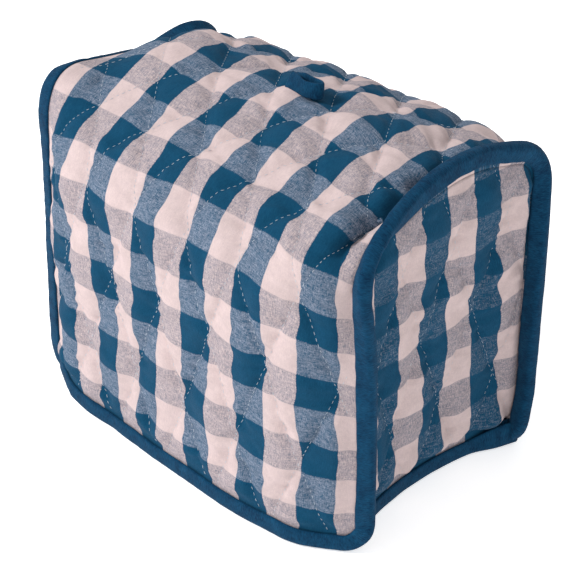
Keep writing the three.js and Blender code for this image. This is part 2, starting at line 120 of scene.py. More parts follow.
flange_turns = named(
    "at left right",
    (0, -18, -33),
    (60, -18, -33),
    (110, -20, -28),
    (150, -22, -12),
    (190, -20, 14),
    (225, -12, 48),
    (260, -30, 80),
    (300, -36, 95),
    (345, -22, 93),
    (385, 44, 66),
    (420, 24, 34),
    (470, 8, 10),
    (550, -22, -12),
    (610, -28, -15),
)
print(len(sections), "cuts across the cover,", len(flange_turns), "places along a flange")

# %% A soft step, and a smooth curve through one column of a table


def smooth(low, high, value):
    """0 below low, 1 above high, and a soft step between."""
    t = np.clip((value - low) / (high - low), 0, 1)
    return t * t * (3 - 2 * t)


def table_value(table, key, column, place):
    """Value of a column at a place: a cubic that keeps each row's value and a common slope."""
    last = len(table) - 1
    k = 0
    while k < last - 1 and place > table[k + 1][key]:
        k += 1

    def slope(i):
        return (table[i + 1][column] - table[i][column]) / (table[i + 1][key] - table[i][key])

    def tangent(i):
        if i == 0:
            return slope(0)
        if i == last:
            return slope(last - 1)
        before = table[i][key] - table[i - 1][key]
        after = table[i + 1][key] - table[i][key]
        return (slope(i - 1) * after + slope(i) * before) / (before + after)

    h = table[k + 1][key] - table[k][key]
    t = (place - table[k][key]) / h
    return (
        (2 * t**3 - 3 * t**2 + 1) * table[k][column] + (t**3 - 2 * t**2 + t) * h * tangent(k)
        + (3 * t**2 - 2 * t**3) * table[k + 1][column] + (t**3 - t**2) * h * tangent(k + 1)
    )


print("front wall stands out", round(-table_value(sections, "x", "front", 0)), "mm at the middle")

# %% One cut across the cover, as points a millimetre of cloth apart
bend_steps = 24
bend_share = 0.48


def run_lengths(points):
    """Distance run along a row of points, up to each of them."""
    return np.concatenate([[0], np.linalg.norm(np.diff(points, axis=0), axis=1).cumsum()])


def points_at(places, lengths, values):
    """Values between a row's points, at distances along it."""
    return np.stack([np.interp(places, lengths, column) for column in values.T], axis=-1)


def bend(start, corner, end):
    """A soft corner, as points on a quadratic curve."""
    t = np.linspace(0, 1, bend_steps + 1)[1:, None]
    return (1 - t) ** 2 * start + 2 * t * (1 - t) * corner + t**2 * end


def cut_across(x):
    """Depth and height of each millimetre of cloth, in the cut at x."""
    at = {name: table_value(sections, "x", name, x) for name in sections[0] if name != "x"}
    corners = np.array([
        (at["front"], 0), (at["front"], at["shoulder"]), (at["ridge_y"], at["ridge"]),
        (at["back"], at["back_shoulder"]), (at["back"], 0),
    ])
    points = [corners[:1]]
    for k, reach in ((1, at["soft"]), (2, soft_ridge), (3, at["soft_back"])):
        ends = []
        for other in (corners[k - 1], corners[k + 1]):
            way = other - corners[k]
            size = np.hypot(*way)
            ends.append(corners[k] + way / size * min(reach, size * bend_share))
        points += [ends[0][None], bend(ends[0], corners[k], ends[1])]
    points = np.vstack(points + [corners[4:]])
    lengths = run_lengths(points)
    places = np.arange(cloth_span + 1) / cloth_span * lengths[-1]
    return points_at(places, lengths, points)


form_x = np.arange(-half_length, half_length + 1)
form = np.array([cut_across(x) for x in form_x])
front_line = np.array([table_value(sections, "x", "front", x) for x in form_x])
plan_lengths = run_lengths(np.stack([form_x, front_line], axis=1))
cloth_length = plan_lengths[-1]
print("cloth between the end seams:", round(cloth_length, 1), "mm")
print("crown at", round(form[:, :, 1].max()), "mm")

# %% [markdown]
# ## Places on the cloth
# Every piece of the body, its flanges and its binding asks the same function for its place, so
# that they stay together whatever their own mesh is like. Past a seam the cloth leaves the form
# and stands out as a flange, turned by the angle in the table. Just inside the seam the top sinks
# a little before it climbs onto the flange, but at its left end the ridge bulges instead. One
# pucker stands up beside the right flange, and the right end's lower back corner is drawn forward.

# %% Functions that turn cloth places into points
frame_step = 2.44  # between the two places that give a flange its direction
facing_step = 0.6
just_inside = 1e-6
dip_depth = 5
dip_reach = 26
ridge_bulge = dict(height=9, at=300, reach=34)
back_bulge = dict(height=4, at=375, reach=45)
right_valley = dict(height=6, at=258, reach=44)
pucker_height = 5
pucker_from_seam = (5, 4.5)  # a hump's centre and its reach
pucker_along_seam = (248, 34)
corner_pull = 8
corner_pull_height = 52
corner_pull_start = 95


def hump(v, centre, reach):
    """1 at the centre, dying away smoothly past its reach."""
    return np.exp(-((v - centre) / reach) ** 2)


def mound(v, height, at, reach):
    """A rise of the given height round one place along the cloth."""
    return height * hump(v, at, reach)


def seam_dip(side, v):
    """How deep the cloth sinks just inside a seam."""
    if side < 0:
        return dip_depth - mound(v, **ridge_bulge) - mound(v, **back_bulge)
    return dip_depth + mound(v, **right_valley)


def on_form(x, v):
    """Points on the form, between those of a grid one millimetre fine."""
    i = np.clip(x + half_length, 0, 2 * half_length - just_inside)
    j = np.clip(v, 0, cloth_span - just_inside)
    i0, j0 = i.astype(int), j.astype(int)
    s, t = (i - i0)[..., None], (j - j0)[..., None]
    low = form[i0, j0] * (1 - s) + form[i0 + 1, j0] * s
    high = form[i0, j0 + 1] * (1 - s) + form[i0 + 1, j0 + 1] * s
    yz = low * (1 - t) + high * t
    low_back = smooth(cloth_span - corner_pull_height, cloth_span, v)
    yz[..., 0] -= corner_pull * low_back * smooth(corner_pull_start, half_length, x)
    return np.concatenate([np.broadcast_to(x, v.shape)[..., None] * 1.0, yz], axis=-1)


def unit(vectors):
    return vectors / np.maximum(np.linalg.norm(vectors, axis=-1, keepdims=True), 1e-9)


turn_at = np.arange(cloth_span + 1)
turns = {
    side: np.radians([table_value(flange_turns, "at", name, v) for v in turn_at])
    for side, name in ((-1, "left"), (1, "right"))
}


def flange_frame(side, v):
    """Root of a flange at v, the way it stands out, its face on the body's side and its uprightness."""
    x = np.full(np.shape(v), side * half_length, dtype=float)
    along = unit(on_form(x, v + frame_step) - on_form(x, v - frame_step))
    outside = np.stack([np.zeros_like(x), -along[..., 2], along[..., 1]], axis=-1)
    turn = np.interp(v, turn_at, turns[side])[..., None]
    out = np.array([side, 0, 0]) * np.cos(turn) + outside * np.sin(turn)
    face = np.cross(out, along) * side
    return on_form(x, v), out, face, np.maximum(outside[..., 2:], 0)


def body_middle(u, v):
    """Middle of the body panel's cloth at u, v."""
    u, v = np.broadcast_arrays(np.asarray(u, dtype=float), np.asarray(v, dtype=float))
    v = np.clip(v, 0, cloth_span)
    inside = on_form(np.interp(u, plan_lengths, form_x), v)
    result = np.zeros(u.shape + (3,))
    for side in (-1, 1):
        root, out, face, up = flange_frame(side, v)
        past = (-u if side < 0 else u - cloth_length)[..., None]
        near = 1 - smooth(0, dip_reach, -past)
        half_way = 4 * near * (1 - near)
        dip = seam_dip(side, v)[..., None] * up * half_way
        beside = hump(-past, *pucker_from_seam) * hump(v, *pucker_along_seam)[..., None]
        pucker = pucker_height * (side > 0) * beside
        wall = inside + face * layer_shift * near + out * (pucker - dip)
        flange = root + out * past + face * layer_shift
        here = (u < cloth_length / 2) if side < 0 else (u >= cloth_length / 2)
        result = np.where(here[..., None], np.where(past >= 0, flange, wall), result)
    return result


def body_facing(u, v):
    """Outward direction of the body panel's cloth."""
    u, v = np.broadcast_arrays(np.asarray(u, dtype=float), np.asarray(v, dtype=float))
    across = body_middle(u + facing_step, v) - body_middle(u - facing_step, v)
    above = body_middle(u, np.minimum(v + facing_step, cloth_span))
    up = above - body_middle(u, np.maximum(v - facing_step, 0))
    result = unit(np.cross(across, up))
    for side, in_flange in ((-1, u <= 0), (1, u >= cloth_length)):
        result = np.where(in_flange[..., None], flange_frame(side, v)[2], result)
    return result


print("top of the cloth at its middle:", body_middle(cloth_length / 2, cloth_span / 2).round(1))

# %% [markdown]
# ## Quilting
# Two families of stitch lines cross in tall diamonds. The filling lifts the cloth between them,
# and the thread draws it together along them, so that short creases stand across each line. The
# height of the puffs is a smooth function of the distance to both families. The creases are
# stretched noise, which is strong by a line and dies away from it. Folded noise adds a few sharper
# crumples. Each noise has its size as two lengths, along u and along v.

# %% Puffs, creases and slow unevenness
quilt_pitch = 50
quilt_lean = 0.4
quilt_lean_top = 0.711
quilt_turn = 215
quilt_phase = 40
puff_height = 4.6
puff_reach = 6.5
puff_unevenness = 0.6
uneven_size = (26, 20)
crease_height = 2.4
crease_reach = 9
crease_everywhere = 0.3
crease_size = (16, 6.5)
crease_bend = 9
crease_bend_size = (30, 30)
lump_height = 0.9
lump_size = (17, 15)
crumple_height = 2.8
crumple_floor = 0.2
crumple_size = (27, 19)


def quilt_run(from_hem):
    """How far a stitch line has run along the cover at a distance from the hem."""
    below = np.minimum(from_hem, quilt_turn)
    above = np.maximum(from_hem - quilt_turn, 0)
    return quilt_lean * below + quilt_lean_top * above


def line_distances(u, run):
    """Distance along the cover to the nearest line of each family."""
    distances = []
    for sign in (-1, 1):
        pitches = (u - quilt_phase + sign * run) / quilt_pitch
        distances.append(np.abs((pitches + 0.5) % 1 - 0.5) * quilt_pitch)
    return distances


def wave_noise(u, v, size, seed):
    """Smooth noise, from -1 to 1, whose waves have the given size."""
    places = zip(np.ravel(u / size[0]).tolist(), np.ravel(v / size[1]).tolist())
    flat = [noise.noise(Vector((p, q, seed))) for p, q in places]
    return np.reshape(flat, np.shape(u))


def relief(u, v, run, seed):
    """Height of quilted cloth over its stitch lines, in millimetres."""
    rising, falling = line_distances(u, run)
    puff = (1 - np.exp(-rising / puff_reach)) * (1 - np.exp(-falling / puff_reach))
    by_line = hump(np.minimum(rising, falling), 0, crease_reach)
    bent = v + crease_bend * wave_noise(u, v, crease_bend_size, seed + 3)
    strength = crease_everywhere + (1 - crease_everywhere) * by_line
    creases = wave_noise(u, bent, crease_size, seed) * strength
    uneven = wave_noise(u, v, uneven_size, seed + 7)
    lumps = wave_noise(u, v, lump_size, seed + 11)
    crumples = np.abs(wave_noise(u, bent, crumple_size, seed + 15)) - crumple_floor
    raised = puff_height * puff * (1 + puff_unevenness * uneven)
    return raised + crease_height * creases + lump_height * lumps + crumple_height * crumples


print("puffs", puff_height, "mm high, in diamonds", quilt_pitch, "mm wide")

# %% [markdown]
# ## Sheets from a grid
# Each piece of cloth starts as a flat grid. Its points are then moved to their place, as a maker's
# cloth is folded over a form, and the flat place of each point stays with it as its UV, counted in
# repeats of the checks. A Solidify modifier gives the sheet its thickness, thin where the stitches
# press it and thick in the puffs.

# %% Helper: a grid whose points can be placed
check = 25
repeat = 2 * check


def grid_piece(columns, rows):
    """A flat bmesh grid, with each point's place in it as two numbers from 0 to 1."""
    bm = bmesh.new()
    bmesh.ops.create_grid(bm, x_segments=columns, y_segments=rows, size=1)
    place = np.array([(p.co.x, p.co.y) for p in bm.verts]) / 2 + 0.5
    return bm, place


def set_points(bm, points):
    """Moves the vertices to points given in millimetres."""
    for vert, point in zip(bm.verts, (points * MM).tolist()):
        vert.co = point


def set_uv(bm, uv):
    bm.verts.index_update()
    layer = bm.loops.layers.uv.verify()
    for face in bm.faces:
        for loop in face.loops:
            loop[layer].uv = uv[loop.vert.index]


def finish_piece(bm, name):
    """Turns a bmesh into a smooth-shaded object."""
    mesh = bpy.data.meshes.new(name)
    bm.to_mesh(mesh)
    bm.free()
    mesh.shade_smooth()
    piece = bpy.data.objects.new(name, mesh)
    bpy.context.collection.objects.link(piece)
    return piece


def thicken(piece, depths):
    """Solidify inwards, by each point's own depth in millimetres."""
    group = piece.vertex_groups.new(name="thickness")
    deepest = float(depths.max())
    for k, depth in enumerate((depths / deepest).tolist()):
        group.add([k], depth, "REPLACE")
    solid = piece.modifiers.new("thickness", "SOLIDIFY")
    solid.thickness = deepest * MM
    solid.offset = -1
    solid.vertex_group = group.name
    print(piece.name, len(piece.data.polygons), "faces, up to", round(deepest, 1), "mm thick")


# %% [markdown]
# ## Body panel
# The long panel has rounded corners at both hems, so the grid's outer columns are drawn in there
# by the corner's own arc. In the flanges and at the hems the binding presses the quilting flat,
# and the relief fades in over the first centimetre outside it. It fades in more slowly beside the
# ridge's two shoulders, and the cloth is drawn nearly flat on the left end's front shoulder, where
# the form turns too sharply for folds. The woven checks have small errors of their own: the
# quilting draws them off their lines in slow waves, and the columns by the left seam lean one way
# low on the front and the other way on the shoulder.

# %% Make the body panel
body_columns = 184
body_rows = 336
front_draw = 48
check_start_u = 18.4
check_start_v = 7.1
drawn_in = 0.987
hem_fade = 12
seam_fade = 13
front_fade = dict(height=17, at=258, reach=50)
back_fade = dict(height=20, at=372, reach=60)
flat_share = 0.85
flat_along = (32, 40)  # a hump's centre and its reach
flat_up = (266, 55)
puff_filling = 0.6
relief_seed = 1.3
warp_seed = 2.1
weft_seed = 8.4
lean_start = 2
lean_low = 11
lean_columns = (8, 42)  # where a step begins and ends
lean_heights = (90, 180)
lean_end = (60, 140)
lean_shoulder = dict(height=7, at=262, reach=50)
lean_shoulder_columns = (15, 45)
calm_share = 0.45
calm_columns = (20, 90)
pattern_waves = [(2.2, (70, 44), 0), (2.8, (58, 19), 3), (0.9, (24, 11), 5)]


def corner_inset(from_edge, radius):
    """How far a rounded corner's edge lies inside the square one."""
    drop = radius - np.clip(from_edge, 0, radius)
    return radius - np.sqrt(radius**2 - drop**2)


def body_relief(u, v):
    """Thickness of the cloth, and the height of its relief."""
    from_hem = np.minimum(v, cloth_span - v)
    from_seam = cloth_length / 2 - np.abs(u - cloth_length / 2)
    fade = seam_fade + mound(v, **front_fade) + mound(v, **back_fade)
    free = smooth(0, hem_fade, from_hem - binding_width) * smooth(0, fade, from_seam)
    thick = edge_thick + (panel_thick - edge_thick) * free
    drawn_flat = flat_share * hump(u, *flat_along) * hump(v, *flat_up)
    raised = relief(u, v, quilt_run(from_hem), relief_seed) * free * (1 - drawn_flat)
    return thick, raised


def pattern_shift(u, v, seed):
    """How far the woven checks lie off their straight lines, drawn by the quilting."""
    return sum(amount * wave_noise(u, v, size, seed + more) for amount, size, more in pattern_waves)


def left_lean(u, v):
    """How far the checks by the left seam lie off their even columns."""
    low = smooth(*lean_columns, u) * (1 - smooth(*lean_heights, v))
    lean = (lean_start - lean_low * low) * (1 - smooth(*lean_end, u))
    return lean + mound(v, **lean_shoulder) * (1 - smooth(*lean_shoulder_columns, u))


bm, place = grid_piece(body_columns, body_rows)
column = -panel_reach + place[:, 0] * (cloth_length + 2 * panel_reach)
v = panel_edge + place[:, 1] * (cloth_span - 2 * panel_edge)
middle = cloth_length / 2
inset = corner_inset(np.minimum(v, cloth_span - v) - panel_edge, corner_radius - panel_edge)
draw = inset * smooth(middle - front_draw, middle + panel_reach, np.abs(column - middle))
u = column - np.sign(column - middle) * draw
thick, raised = body_relief(u, v)
outer = thick / 2 + raised
set_points(bm, body_middle(u, v) + body_facing(u, v) * outer[:, None])
calm = calm_share + (1 - calm_share) * smooth(*calm_columns, u)
along = (u - check_start_u + left_lean(u, v)) / drawn_in + calm * pattern_shift(u, v, warp_seed)
up = v - check_start_v + pattern_shift(u, v, weft_seed)
set_uv(bm, (np.stack([along, up], axis=1) / repeat).tolist())
body_cloth = finish_piece(bm, "body_cloth")
thicken(body_cloth, thick + puff_filling * np.maximum(raised, 0))

# %% [markdown]
# ## End panels
# An end panel hangs between the edges of the body, a little behind them. Its place is blended
# from its two sides and its top, as a cloth pulled on three sides settles. Its hem is straight
# from side to side and then drawn in at the middle. A narrow strip along the three sides goes on
# into the flange, under the binding.

# %% Make both end panels
tuck = 6.2
low_draw = 2.6
low_start = 18.5
hem_bow = 12.5
top_bow = 5
side_reach = 206
end_columns = 88
end_rows = 96
strip_columns = 6
strip_pitch = 2.2
end_width = 150
end_height = 200
end_fade = (-1, 12)
end_relief_seed = 3.7
end_start = 50.5 + check
end_lean = 0.085
end_lean_height = 100
end_rise = 45
end_sag = 0.05
end_sag_width = 150
end_stretch = 1.045
end_warp_seed = 4.4
end_weft_seed = 6.2
end_warp_share = 0.55
end_weft_share = 0.7


def end_edge(side, v, past):
    """Point of an end panel's cloth in or beside the flange."""
    root, out, face, _ = flange_frame(side, v)
    low = 1 - smooth(low_start, corner_radius, np.minimum(v, cloth_span - v))[..., None]
    behind = layer_shift + (tuck - layer_shift) * low
    past = np.asarray(past, dtype=float)[..., None]
    return root + out * (past - low_draw * low) - face * behind


def end_middle(side, s, t):
    """End panel's middle at s across it, from front to back, and t up it."""
    up = panel_edge + (side_reach - panel_edge) * t
    zero = np.zeros_like(s)
    front, back = end_edge(side, up, zero), end_edge(side, cloth_span - up, zero)
    top = end_edge(side, side_reach + (cloth_span - 2 * side_reach) * s, zero)
    high_front = end_edge(side, np.full_like(s, side_reach), zero)
    high_back = end_edge(side, np.full_like(s, cloth_span - side_reach), zero)
    s3, t3 = s[..., None], t[..., None]
    point = front * (1 - s3) + back * s3 + top * t3
    point -= (high_front * (1 - s3) + high_back * s3) * t3
    bow = (hem_bow + (top_bow - hem_bow) * smooth(0, 1, t)) * 4 * s * (1 - s) * (1 - t**4)
    point[..., 0] -= side * bow
    return point


def end_pattern(side, points):
    """Checks on an end panel: they lean with its front edge and sag a little to the back."""
    y, z = points[:, 1], points[:, 2]
    across = y + end_lean * (z - end_lean_height) + end_start
    height = z + end_sag * y * z / end_sag_width - end_rise
    across = across + end_warp_share * pattern_shift(y, z, end_warp_seed + side)
    height = height + end_weft_share * pattern_shift(y, z, end_weft_seed + side)
    return np.stack([across / repeat, height / (repeat * end_stretch)], axis=1)


def end_panel(side, name):
    """An end panel with the strip that goes on into its flange."""
    bm, place = grid_piece(end_columns, end_rows)
    s, t = place[:, 0], place[:, 1]
    points = end_middle(side, s, t)
    gap = 0.01
    across = end_middle(side, np.minimum(s + gap, 1), t) - end_middle(side, np.maximum(s - gap, 0), t)
    up = end_middle(side, s, np.minimum(t + gap, 1)) - end_middle(side, s, np.maximum(t - gap, 0))
    facing = unit(np.cross(across, up)) * side
    from_side = np.minimum(s, 1 - s) * end_width
    from_hem = points[:, 2] - binding_width
    inside = np.minimum(from_side, np.minimum((1 - t) * end_height, from_hem))
    free = smooth(*end_fade, inside)
    thick = edge_thick + (panel_thick - edge_thick) * free
    y, z = points[:, 1] + quilt_pitch / 2, points[:, 2]
    raised = relief(y + quilt_phase, z, quilt_lean * z, end_relief_seed + side) * free
    set_points(bm, points + facing * (thick / 2 + raised)[:, None])
    set_uv(bm, end_pattern(side, points).tolist())
    count = len(bm.verts)

    strip_rows = round((cloth_span - 2 * corner_radius) / strip_pitch)
    strip, at = grid_piece(strip_columns, strip_rows)
    v = corner_radius + at[:, 1] * (cloth_span - 2 * corner_radius)
    back_face = -flange_frame(side, v)[2]
    set_points(strip, end_edge(side, v, at[:, 0] * panel_reach) + back_face * edge_thick / 2)
    set_uv(strip, end_pattern(side, end_edge(side, v, np.zeros_like(v))).tolist())
    if side < 0:
        bmesh.ops.reverse_faces(bm, faces=bm.faces)
    else:
        bmesh.ops.reverse_faces(strip, faces=strip.faces)
    joined = bpy.data.meshes.new(name)
    strip.to_mesh(joined)
    bm.from_mesh(joined)
    strip.free()
    bpy.data.meshes.remove(joined)
    piece = finish_piece(bm, name)
    depths = np.full(len(piece.data.vertices), edge_thick)
    depths[:count] = thick + puff_filling * np.maximum(raised, 0)
    thicken(piece, depths)
    return piece


end_cloth_right = end_panel(1, "end_cloth_right")
end_cloth_left = end_panel(-1, "end_cloth_left")

# %% [markdown]
# ## Bindings
# A binding is a strip of cotton folded round the cut edges and stitched through. Its section is a
# plump fold with two lips and a slot, swept round the whole body panel: a grid whose two open
# sides are welded. Half of the section is listed from a lip to the outer bend, as depths and
# heights. At the hems the slot holds one layer and in the flanges two, so the section grows at the
# rounded corners. Slow noise lets the lips wander and the fold swell, as sewn cotton does.

# %% Section of a folded binding
binding_wall = 1.1
slot_floor = 1.2
lip_depth = 0.3
bend_squeeze = 0.97
fold_half = [
    (1.0, 0.03), (1.0, 0.55), (0.965, 0.95), (0.86, 1.13), (0.7, 1.24),
    (0.52, 1.28), (0.34, 1.24), (0.18, 1.08), (0.07, 0.8), (0.015, 0.42),
]


def fold_outline(slot, swell, wander):
    """Depth and height of each point round the section, for each station."""
    wall = binding_wall * swell
    depths, heights = [], []
    wide = binding_width + wander
    for sign, order in ((1, fold_half), (-1, fold_half[::-1])):
        for depth, height in order:
            lip = slot + wall * height
            bend_part = (slot + wall) * height * bend_squeeze
            depths.append(depth * wide)
            heights.append(sign * (lip if depth > lip_depth else bend_part))
    slot_depths = (wide, wide / 2, np.full_like(slot, slot_floor))
    for sign, order in ((-1, slot_depths), (1, slot_depths[::-1])):
        for depth in order:
            depths.append(depth)
            heights.append(sign * slot)
    return np.stack(depths, axis=1), np.stack(heights, axis=1)


def along_noise(count, waves):
    """Sum of smooth noises along a strip. A wave is its length, its seed and its amount."""
    return sum(amount * wave_noise(count, count * 0, (length, 1), seed) for length, seed, amount in waves)


print(2 * len(fold_half) + 6, "points round the fold")

# %% Sweep a section round a path
fold_repeat = 12.0


def swept(points, ring, name):
    """A closed tube through rows of points, one row for each station."""
    stations, around = points.shape[:2]
    lengths = stations if ring else stations - 1
    bm, place = grid_piece(lengths, around)
    i = np.round(place[:, 0] * lengths).astype(int)
    j = np.round(place[:, 1] * around).astype(int)
    set_points(bm, points[i % stations, j % around])
    along = run_lengths(np.vstack([points[:, 0], points[:1, 0]]))[i]
    girth = run_lengths(np.vstack([points[0], points[0, :1]]))[j]
    set_uv(bm, (np.stack([along, girth], axis=1) / fold_repeat).tolist())
    bmesh.ops.remove_doubles(bm, verts=bm.verts, dist=1e-7)
    if not ring:
        open_edges = [edge for edge in bm.edges if edge.is_boundary]
        bmesh.ops.holes_fill(bm, edges=open_edges, sides=0)
    bmesh.ops.recalc_face_normals(bm, faces=bm.faces)
    piece = finish_piece(bm, name)
    print(name, stations, "stations,", len(piece.data.polygons), "faces")
    return piece


# %% Make the long binding
station_pitch = 3.0
corner_steps = 12
centre = flange_width - corner_radius
single_slot = edge_thick / 2 + layer_gap + 0.25
double_slot = edge_thick + layer_gap * 1.5
edge_swell = 1.4


def binding_path():
    """Stations round the body panel: cloth place of the outer edge, way out, and layers held."""
    low_u, high_u = -centre, cloth_length + centre
    low_v, high_v = corner_radius, cloth_span - corner_radius
    along_u = np.linspace(low_u, high_u, round((high_u - low_u) / station_pitch) + 1)
    along_v = np.linspace(low_v, high_v, round((high_v - low_v) / station_pitch) + 1)
    path = []

    def straight(us, vs, out_u, out_v, layers):
        for a, b in np.broadcast(us, vs):
            path.append((a, b, out_u, out_v, layers))

    def turn(cu, cv, start, from_layers):
        for k in range(1, corner_steps):
            angle = start + math.pi / 2 * k / corner_steps
            layers = from_layers + (1 - 2 * from_layers) * float(smooth(0, 1, k / corner_steps))
            out = (math.cos(angle), math.sin(angle))
            path.append((cu + corner_radius * out[0], cv + corner_radius * out[1], *out, layers))

    straight(along_u, 0.0, 0, -1, 0)
    turn(high_u, low_v, -math.pi / 2, 0)
    straight(cloth_length + flange_width, along_v, 1, 0, 1)
    turn(high_u, high_v, 0, 1)
    straight(along_u[::-1], float(cloth_span), 0, 1, 0)
    turn(low_u, high_v, math.pi / 2, 0)
    straight(-flange_width, along_v[::-1], -1, 0, 1)
    turn(low_u, low_v, math.pi, 1)
    return np.array(path).T


edge_u, edge_v, out_u, out_v, layers = binding_path()
slot = single_slot + (double_slot - single_slot) * layers
count = np.arange(len(edge_u)) * station_pitch
swell = edge_swell + along_noise(count, [(14, 5.5, 0.3), (6, 2.5, 0.36)])
wander = along_noise(count, [(30, 9.5, 0.8), (9, 1.5, 0.4)])
depth, height = fold_outline(slot, swell, wander)
at_u = edge_u[:, None] - out_u[:, None] * depth
at_v = edge_v[:, None] - out_v[:, None] * depth
facing = body_facing(at_u, at_v)
shift = height - (layer_shift * layers)[:, None]
edge_points = body_middle(at_u, at_v) + facing * shift[..., None]
edge_points[..., 2] = np.maximum(edge_points[..., 2], 0)
edge_binding_cloth = swept(edge_points, True, "edge_binding_cloth")

# %% [markdown]
# ## End hems
# Each end panel's hem has a short binding of its own, along the drawn-in hem. Its ends go behind
# the long one. The back end flares where its corner is turned under.

# %% Make the end hem bindings
hem_overlap = 1.7
hem_reach = 1.035
hem_steps = 46
hem_slot = edge_thick / 2 + layer_gap + 0.3
hem_rise = 230
hem_swell = 1.2
flare_range = (0.82, 0.98)
flare_out = 5
flare_share = 0.5


def hem_binding(side, name):
    """A short fold along an end panel's hem, from its front corner to its back one."""
    zero = np.zeros(1)
    front = end_edge(side, np.full(1, panel_edge), zero)[0]
    back = end_edge(side, np.full(1, cloth_span - panel_edge), zero)[0]
    span = np.linalg.norm(back - front)
    overlap = hem_overlap / span
    s = np.linspace(-overlap, hem_reach + overlap, hem_steps + 1)
    flare = smooth(*flare_range, s)[:, None]
    swell = hem_swell + along_noise(s * span, [(12, 4.5 + side, 0.25)])
    wander = along_noise(s * span, [(20, 6.5 + side, 0.5)])
    depth, height = fold_outline(np.full_like(s, hem_slot), swell, wander)
    base = front + (back - front) * s[:, None, None]
    bow = hem_bow + (top_bow - hem_bow) * smooth(0, 1, depth / hem_rise)
    bow = bow * (4 * s * (1 - s))[:, None]
    points = np.broadcast_to(base, depth.shape + (3,)).copy()
    points[..., 0] += side * (height - bow + flare_out * flare)
    points[..., 2] = np.maximum(depth * (1 + flare_share * flare), 0)
    return swept(points, False, name)


hem_cloth_right = hem_binding(1, "end_hem_cloth_right")
hem_cloth_left = hem_binding(-1, "end_hem_cloth_left")

# %% [markdown]
# ## Loop
# The loop is a narrow strip of binding, folded back on itself and sewn to the middle of the top.
# It stands on its edge, so there is a small eye between its two strands, and towards its sewn end
# the strip leans over and lies down. Rays cast down onto the cloth give it its floor, and its free
# end stands a little higher. Its route is listed as shares of its length and its rise.

# %% Make the loop
loop_length = 29
loop_width = 11.5
loop_thick = 2.2
loop_rise = 10
loop_turn = math.radians(3)
loop_roll = math.radians(84)
loop_lean = math.radians(48)
loop_x = -1
loop_y = 7.5
loop_steps = 60
loop_around = 16
loop_lean_share = 0.55
loop_end_from = 0.4
loop_end_lift = 2.4
loop_sink = 0.6
floor_smoothing = 8
flat_roundness = 0.35
edge_roundness = 0.8
route_steps = 12
high_above = 400
loop_route = [
    (0, 0), (0.3, 0.02), (0.62, 0.1), (0.9, 0.34), (1, 0.66),
    (0.88, 0.96), (0.6, 1), (0.3, 0.72), (0, 0.4),
]


def smooth_route(points, steps):
    """Evenly spaced points on a smooth curve through the given ones."""
    ends = [2 * points[0] - points[1]] + list(points) + [2 * points[-1] - points[-2]]
    t = np.linspace(0, 1, route_steps, endpoint=False)[:, None]
    curve = [
        0.5 * (2 * b + (c - a) * t + (2 * a - 5 * b + 4 * c - d) * t**2 + (3 * b - a - 3 * c + d) * t**3)
        for a, b, c, d in zip(ends, ends[1:], ends[2:], ends[3:])
    ]
    curve = np.vstack(curve + [points[-1:]])
    lengths = run_lengths(curve)
    return points_at(np.linspace(0, lengths[-1], steps + 1), lengths, curve)


def ray_tree(cloth):
    """A cloth's mesh, ready for rays."""
    source = bmesh.new()
    source.from_mesh(cloth.data)
    tree = BVHTree.FromBMesh(source)
    source.free()
    return tree


def cloth_heights(cloth, places):
    """Height of a cloth's outer face under each place, in millimetres."""
    tree = ray_tree(cloth)
    down = Vector((0, 0, -1))
    hits = [tree.ray_cast(Vector((x, y, high_above)) * MM, down)[0] for x, y in places]
    return np.array([hit.z / MM for hit in hits])


def rounded(wave, roundness):
    """A wave whose turns are made squarer by a low roundness."""
    return np.sign(wave) * np.abs(wave) ** roundness


route = smooth_route(np.array(loop_route) * (loop_length, loop_rise), loop_steps)
ahead = unit(np.gradient(route, axis=0))
over = np.stack([-ahead[:, 1], ahead[:, 0]], axis=1)
section_angles = np.linspace(0, 2 * math.pi, loop_around, endpoint=False)
flat = rounded(np.cos(section_angles), flat_roundness)
thin = rounded(np.sin(section_angles), edge_roundness)
way = np.array([math.cos(loop_turn), math.sin(loop_turn), 0])
front = np.array([math.sin(loop_turn), -math.cos(loop_turn), 0])
top = np.array([0, 0, 1])
rise = top * math.cos(loop_roll) + front * math.sin(loop_roll)
reached = route[:, 0] / loop_length
roll = loop_lean + (loop_roll - loop_lean) * smooth(0, loop_lean_share, reached)
wide = front * np.cos(roll)[:, None] - top * np.sin(roll)[:, None]
ground = cloth_heights(body_cloth, [
    (loop_x + p * way[0] + q * rise[0], loop_y + p * way[1] + q * rise[1]) for p, q in route
])
window = 2 * floor_smoothing + 1
padded = np.pad(ground, floor_smoothing, mode="edge")
ground = np.convolve(padded, np.ones(window) / window, mode="valid")
lift = ground - loop_sink + loop_width / 2 * np.sin(roll)
lift += loop_end_lift * smooth(loop_end_from, 1, reached)
local = route[:, None, :] + over[:, None, :] * (thin * loop_thick / 2)[None, :, None]
loop_points = (
    np.array([loop_x, loop_y, 0]) + top * lift[:, None, None]
    + local[..., :1] * way + local[..., 1:] * rise
    + wide[:, None, :] * (flat * loop_width / 2)[None, :, None]
)
loop_cloth = swept(loop_points, False, "loop_cloth")

# %% [markdown]
# ## Stitches
# The quilting is a running stitch in white thread: short dashes that dip into the cloth between
# them. Each dash is a small stretched ball laid on the cloth. A ray cast onto the cloth's own mesh
# finds its height, so no stitch floats or drowns.

# %% Lay the quilting stitches
first_stitch = 1.0
stitch_length = 2.5
stitch_gap = 1.8
stitch_lift = 0.12
body_thread = 0.2
end_thread = 0.13
ray_start = 9
ray_reach = 0.03
seam_margin = 3
hem_margin = 2
fewest_places = 4


